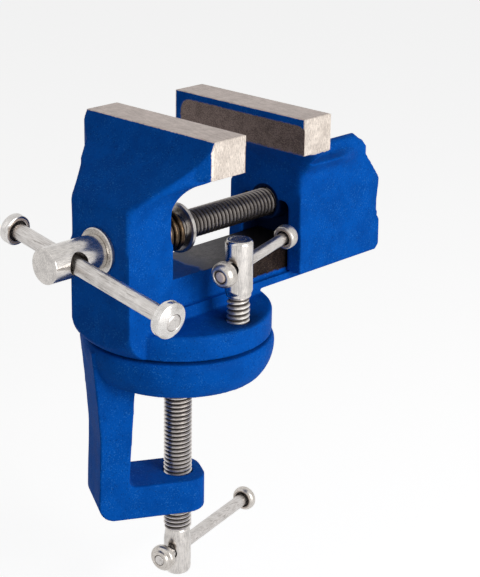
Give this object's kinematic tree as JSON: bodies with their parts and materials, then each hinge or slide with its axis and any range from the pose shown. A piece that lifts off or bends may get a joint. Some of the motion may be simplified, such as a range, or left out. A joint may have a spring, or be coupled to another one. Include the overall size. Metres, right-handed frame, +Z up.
{
  "type": "swivel table vise",
  "caption": "Small cast-iron table vise with a blue painted body, bare-metal jaw heads, a swivel base locked by a side screw, and a screw clamp for a table edge.",
  "frame": {"origin": "on the swivel axis, in the plane of the table seat, which is the underside of the clamp frame's disc", "axes": "+Z up; +Y along the main screw from its handle to the moving jaw; +X to the right of a user who stands at the handle"},
  "size_m": [0.0813, 0.1421, 0.1647],
  "materials": {
    "blue_paint": "satin",
    "thread_steel": "satin",
    "plated_steel": "satin",
    "plated_knob": "gloss",
    "spring_steel": "satin",
    "tip_brass": "satin"
  },
  "bodies": {
    "clamp_frame": {"clamp_frame": "blue_paint"},
    "vise_body": {"vise_body": "blue_paint", "pivot_bolt": "plated_steel", "pivot_washer": "plated_steel"},
    "moving_jaw": {"moving_jaw": "blue_paint"},
    "main_screw": {"main_screw": "thread_steel", "thrust_washer": "plated_steel", "return_spring": "spring_steel", "spring_ring": "plated_steel", "ring_pin": "plated_steel"},
    "main_bar": {"main_bar": "plated_steel", "main_knob_left": "plated_knob", "main_knob_right": "plated_knob"},
    "lock_tip": {"lock_tip": "tip_brass"},
    "lock_screw": {"lock_screw": "thread_steel"},
    "lock_bar": {"lock_bar": "plated_steel", "lock_knob_front": "plated_knob", "lock_knob_back": "plated_knob"},
    "clamp_pad": {"clamp_pad": "plated_steel"},
    "clamp_screw": {"clamp_screw": "thread_steel"},
    "clamp_bar": {"clamp_bar": "plated_steel", "clamp_knob_front": "plated_knob", "clamp_knob_back": "plated_knob"}
  },
  "joints": [
    {"name": "swivel", "type": "hinge", "parent": "clamp_frame", "child": "vise_body", "pos_m": [0, 0, 0], "axis": [0, 0, 1], "continuous": true},
    {"name": "main_screw_turn", "type": "hinge", "parent": "vise_body", "child": "main_screw", "pos_m": [0, 0, 0.049], "axis": [0, 1, 0], "range_deg": [-1824, 6528]},
    {"name": "jaw_slide", "type": "slide", "parent": "vise_body", "child": "moving_jaw", "axis": [0, 1, 0], "range_m": [-0.0273, 0.0077]},
    {"name": "main_bar_slide", "type": "slide", "parent": "main_screw", "child": "main_bar", "axis": [0.988, 0, -0.1547], "range_m": [-0.0378, 0.0177]},
    {"name": "lock_turn", "type": "hinge", "parent": "lock_tip", "child": "lock_screw", "pos_m": [0.02465, 0.0033, 0], "axis": [0, 0, 1], "range_deg": [-115, 0]},
    {"name": "lock_slide", "type": "slide", "parent": "vise_body", "child": "lock_tip", "axis": [0, 0, 1], "range_m": [-0.0006, 0]},
    {"name": "lock_bar_slide", "type": "slide", "parent": "lock_screw", "child": "lock_bar", "axis": [0.1296, -0.9841, -0.1219], "range_m": [-0.0007, 0.0191]},
    {"name": "clamp_turn", "type": "hinge", "parent": "clamp_pad", "child": "clamp_screw", "pos_m": [0, 0, 0], "axis": [0, 0, 1], "range_deg": [-7200, 600]},
    {"name": "clamp_lift", "type": "slide", "parent": "clamp_frame", "child": "clamp_pad", "axis": [0, 0, 1], "range_m": [-0.0301, 0.0026]},
    {"name": "clamp_bar_slide", "type": "slide", "parent": "clamp_screw", "child": "clamp_bar", "axis": [-0.2079, 0.9781, 0], "range_m": [-0.0378, 0.0021]}
  ],
  "couplings": [
    {"joint": "jaw_slide", "follows": "main_screw_turn", "m_per_rad": -0.00023873},
    {"joint": "lock_slide", "follows": "lock_turn", "m_per_rad": 0.00027852},
    {"joint": "clamp_lift", "follows": "clamp_turn", "m_per_rad": 0.00023873}
  ]
}
